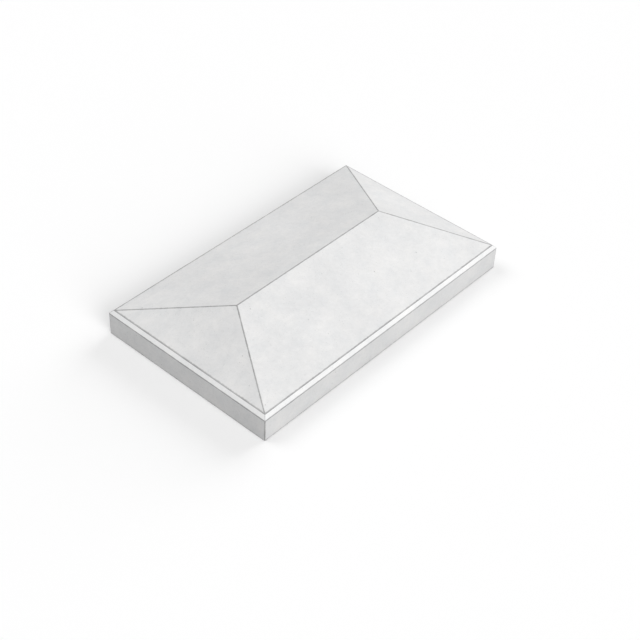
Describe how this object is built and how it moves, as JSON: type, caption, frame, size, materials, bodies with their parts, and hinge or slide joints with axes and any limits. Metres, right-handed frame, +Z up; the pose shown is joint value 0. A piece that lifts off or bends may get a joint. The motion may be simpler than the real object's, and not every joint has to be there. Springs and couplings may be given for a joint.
{
  "type": "pier cap",
  "caption": "Rectangular cast concrete pier cap with a bevelled edge, a hipped top falling from a short ridge and a drip groove, bedded on a masonry pier to shed rain.",
  "frame": {"origin": "centre of the bed face, on the underside", "axes": "+X along the cap's length and its ridge, +Y across its width, +Z up to the ridge"},
  "size_m": [0.5, 0.3, 0.0799],
  "materials": {
    "cast_concrete": "smooth mould face, matt, pale neutral grey"
  },
  "bodies": {
    "root": {"pier_cap": "cast_concrete"}
  },
  "joints": []
}
